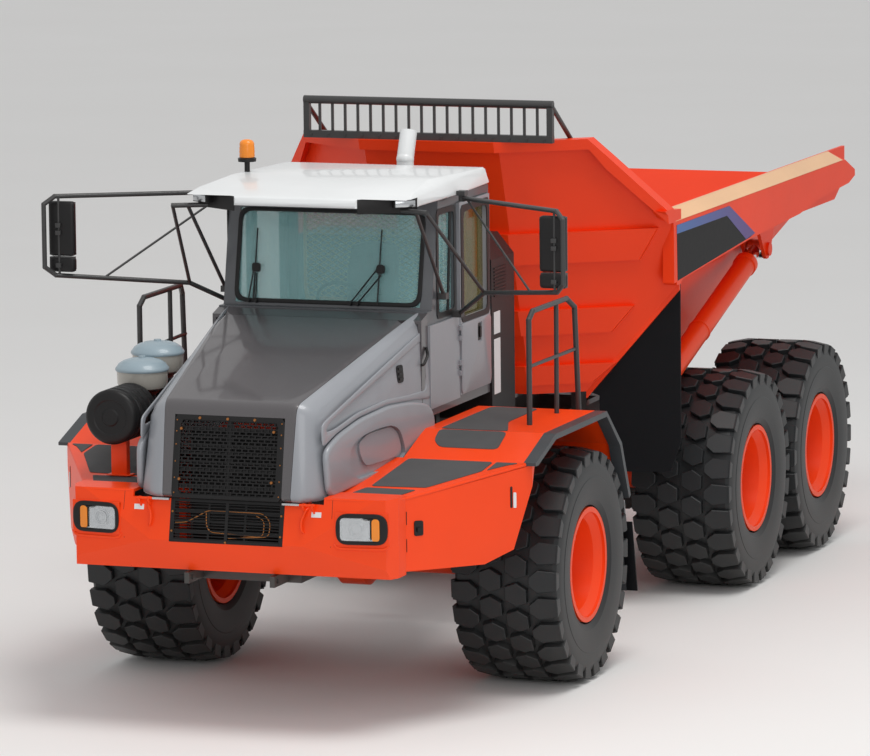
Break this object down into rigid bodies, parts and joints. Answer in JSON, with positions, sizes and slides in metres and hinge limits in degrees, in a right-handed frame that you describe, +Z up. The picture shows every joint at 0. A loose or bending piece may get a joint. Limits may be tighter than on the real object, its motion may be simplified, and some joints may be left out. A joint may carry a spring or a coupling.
{
  "type": "articulated dump truck",
  "caption": "Six-wheel articulated dump truck with a hinged hood, glazed cab, steering and rolling hitch, and a tipping bin on two hoist cylinders.",
  "frame": {"origin": "middle of the bounding box, on the ground under the tyres", "axes": "-Y to the front of the truck, +X to its left side, +Z up"},
  "size_m": [4.3794, 11.26, 4.4489],
  "materials": {
    "frame_paint": "semi-gloss",
    "orange_paint": "gloss",
    "bin_paint": "semi-gloss",
    "steel": "polished",
    "cast_block": "matt",
    "black_plastic": "matt",
    "rubber": "matt",
    "dark_paint": "metallic",
    "light_paint": "metallic",
    "cab_paint": "semi-gloss",
    "rail_paint": "semi-gloss",
    "white_shell": "gloss",
    "pipe_paint": "satin",
    "amber": "gloss",
    "window_glass": "clear",
    "seat_fabric": "woven",
    "tyre": "matt"
  },
  "bodies": {
    "tractor": {"front_frame": "frame_paint", "tow_tabs": "frame_paint", "hitch_frame": "frame_paint", "cab_platform": "frame_paint", "front_axle": "orange_paint", "front_struts": "steel", "engine_block": "cast_block", "radiator": "black_plastic", "bumper": "orange_paint", "decks": "orange_paint", "fenders": "orange_paint", "fender_lips": "rubber", "head_lamps": "black_plastic", "lower_grille": "black_plastic", "cab_shell": "cab_paint", "cab_panels": "light_paint", "cab_roof": "white_shell", "cab_glass": "window_glass", "cowl": "dark_paint", "seat": "seat_fabric", "dash": "black_plastic", "mirrors": "black_plastic", "handrails": "rail_paint", "air_cleaner": "black_plastic", "exhaust": "pipe_paint", "rear_cowl": "black_plastic", "beacon": "amber"},
    "hood": {"hood_top": "dark_paint", "hood_sides": "light_paint", "hood_grille": "black_plastic"},
    "door": {"cab_door": "light_paint", "door_glass": "window_glass"},
    "yoke": {"hitch_yoke": "frame_paint"},
    "steer_barrel_left": {"steer_barrel_l": "orange_paint"},
    "steer_barrel_right": {"steer_barrel_r": "orange_paint"},
    "steer_rod_left": {"steer_rod_l": "steel"},
    "steer_rod_right": {"steer_rod_r": "steel"},
    "rear": {"rear_frame": "frame_paint", "mid_axle": "orange_paint", "rear_axle": "orange_paint", "walking_beams": "frame_paint"},
    "bin": {"bin": "bin_paint", "bin_rack": "rail_paint", "bin_flaps": "rubber"},
    "hoist_barrel_pair": {"hoist_barrels": "orange_paint"},
    "hoist_rod_pair": {"hoist_rods": "steel"},
    "wheel_fl": {"tyre_fl": "tyre", "rim_fl": "orange_paint"},
    "wheel_fr": {"tyre_fr": "tyre", "rim_fr": "orange_paint"},
    "wheel_ml": {"tyre_ml": "tyre", "rim_ml": "orange_paint"},
    "wheel_mr": {"tyre_mr": "tyre", "rim_mr": "orange_paint"},
    "wheel_rl": {"tyre_rl": "tyre", "rim_rl": "orange_paint"},
    "wheel_rr": {"tyre_rr": "tyre", "rim_rr": "orange_paint"}
  },
  "joints": [
    {"name": "wheel_fl_spin", "type": "hinge", "parent": "tractor", "child": "wheel_fl", "pos_m": [1.55, -2.77, 0.935], "axis": [1, 0, 0], "continuous": true},
    {"name": "wheel_fr_spin", "type": "hinge", "parent": "tractor", "child": "wheel_fr", "pos_m": [-1.55, -2.77, 0.935], "axis": [1, 0, 0], "continuous": true},
    {"name": "wheel_ml_spin", "type": "hinge", "parent": "rear", "child": "wheel_ml", "pos_m": [1.55, 1.808, 0.935], "axis": [1, 0, 0], "continuous": true},
    {"name": "wheel_mr_spin", "type": "hinge", "parent": "rear", "child": "wheel_mr", "pos_m": [-1.55, 1.808, 0.935], "axis": [1, 0, 0], "continuous": true},
    {"name": "wheel_rl_spin", "type": "hinge", "parent": "rear", "child": "wheel_rl", "pos_m": [1.55, 3.762, 0.935], "axis": [1, 0, 0], "continuous": true},
    {"name": "wheel_rr_spin", "type": "hinge", "parent": "rear", "child": "wheel_rr", "pos_m": [-1.55, 3.762, 0.935], "axis": [1, 0, 0], "continuous": true},
    {"name": "steer", "type": "hinge", "parent": "tractor", "child": "yoke", "pos_m": [0, -1.17, 1.14], "axis": [0, 0, 1], "range_deg": [-42, 42]},
    {"name": "hitch_roll", "type": "hinge", "parent": "yoke", "child": "rear", "pos_m": [0, -0.485, 1.14], "axis": [0, 1, 0], "range_deg": [-12, 12]},
    {"name": "steer_barrel_left_swing", "type": "hinge", "parent": "tractor", "child": "steer_barrel_left", "pos_m": [0.55, -2.15, 1.14], "axis": [0, 0, 1], "range_deg": [-12, 12]},
    {"name": "steer_barrel_right_swing", "type": "hinge", "parent": "tractor", "child": "steer_barrel_right", "pos_m": [-0.55, -2.15, 1.14], "axis": [0, 0, 1], "range_deg": [-12, 12]},
    {"name": "steer_rod_left_slide", "type": "slide", "parent": "steer_barrel_left", "child": "steer_rod_left", "axis": [-0.0712, 0.9975, 0], "range_m": [-0.345, 0.345]},
    {"name": "steer_rod_right_slide", "type": "slide", "parent": "steer_barrel_right", "child": "steer_rod_right", "axis": [0.0712, 0.9975, 0], "range_m": [-0.345, 0.345]},
    {"name": "bin_tip", "type": "hinge", "parent": "rear", "child": "bin", "pos_m": [0, 4.35, 1.78], "axis": [-1, 0, 0], "range_deg": [0, 70]},
    {"name": "hoist_barrel_swing", "type": "hinge", "parent": "rear", "child": "hoist_barrel_pair", "pos_m": [0, 0.75, 1.79], "axis": [-1, 0, 0], "range_deg": [-1, 6]},
    {"name": "hoist_rod_slide", "type": "slide", "parent": "hoist_barrel_pair", "child": "hoist_rod_pair", "axis": [0, 0.9573, 0.2891], "range_m": [-0.01, 1.23]},
    {"name": "hood_open", "type": "hinge", "parent": "tractor", "child": "hood", "pos_m": [0, -5.612, 1.797], "axis": [1, 0, 0], "range_deg": [0, 60]},
    {"name": "door_open", "type": "hinge", "parent": "tractor", "child": "door", "pos_m": [0.918, -2.803, 2.6], "axis": [0, 0, -1], "range_deg": [0, 78]}
  ],
  "couplings": [
    {"joint": "steer_barrel_left_swing", "follows": "steer", "ratio": 0.25108},
    {"joint": "steer_barrel_right_swing", "follows": "steer", "ratio": 0.25108},
    {"joint": "steer_rod_left_slide", "follows": "steer", "m_per_rad": 0.46087},
    {"joint": "steer_rod_right_slide", "follows": "steer", "m_per_rad": -0.46087},
    {"joint": "hoist_barrel_swing", "follows": "bin_tip", "ratio": 0.071976},
    {"joint": "hoist_rod_slide", "follows": "bin_tip", "m_per_rad": 0.99957}
  ]
}
